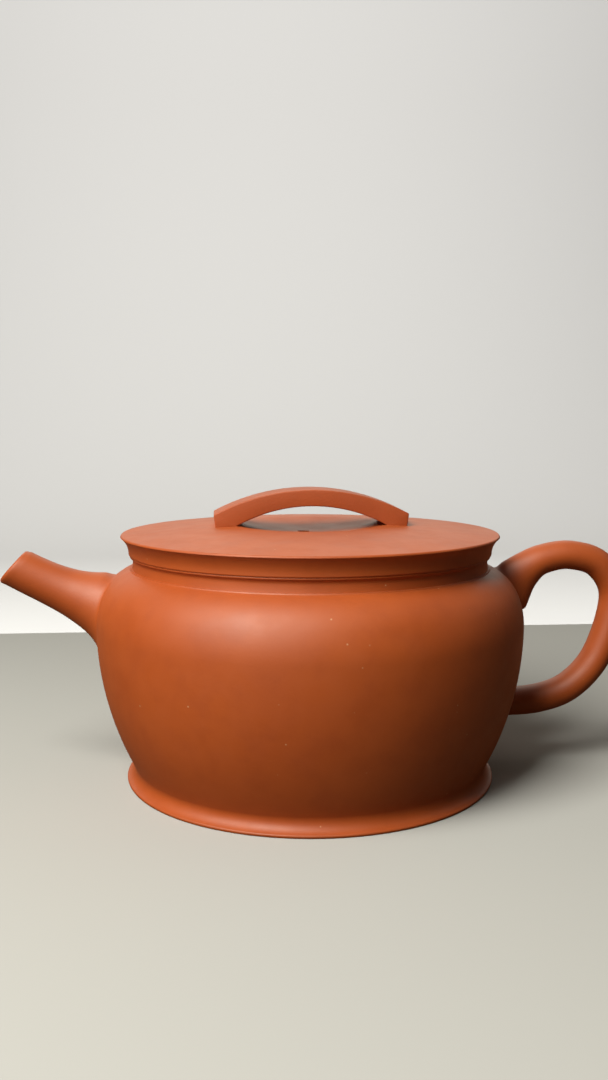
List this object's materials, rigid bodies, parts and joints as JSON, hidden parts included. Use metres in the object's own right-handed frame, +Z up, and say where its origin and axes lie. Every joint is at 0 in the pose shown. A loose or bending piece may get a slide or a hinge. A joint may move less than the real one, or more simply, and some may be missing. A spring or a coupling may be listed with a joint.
{
  "type": "clay teapot",
  "caption": "Low round unglazed clay teapot with a tapered spout, an ear-shaped loop handle and a flat overhanging lid that lifts off by a bridge knob.",
  "frame": {"origin": "on the pot's axis, in the plane of the foot ring's sole", "axes": "+Z up along the pot's axis, +X towards the handle, -X towards the spout"},
  "size_m": [0.1348, 0.0896, 0.0609],
  "materials": {
    "burnished_clay": "burnished, matte with a soft sheen",
    "raw_clay": "unburnished, matte"
  },
  "bodies": {
    "pot": {"foot_ring": "burnished_clay", "base_disc": "raw_clay", "body_wall": "burnished_clay", "shoulder_disc": "burnished_clay", "neck_collar": "burnished_clay", "mouth_ring": "raw_clay", "spout": "burnished_clay", "strainer_dome": "raw_clay", "handle": "burnished_clay"},
    "lid": {"lid_edge_band": "burnished_clay", "lid_plate": "burnished_clay", "recess_dish": "burnished_clay", "lid_flange": "raw_clay", "bridge_knob": "burnished_clay"}
  },
  "joints": [
    {"name": "lid_lift", "type": "slide", "parent": "pot", "child": "lid", "axis": [0, 0, 1], "range_m": [0, 0.06]}
  ]
}
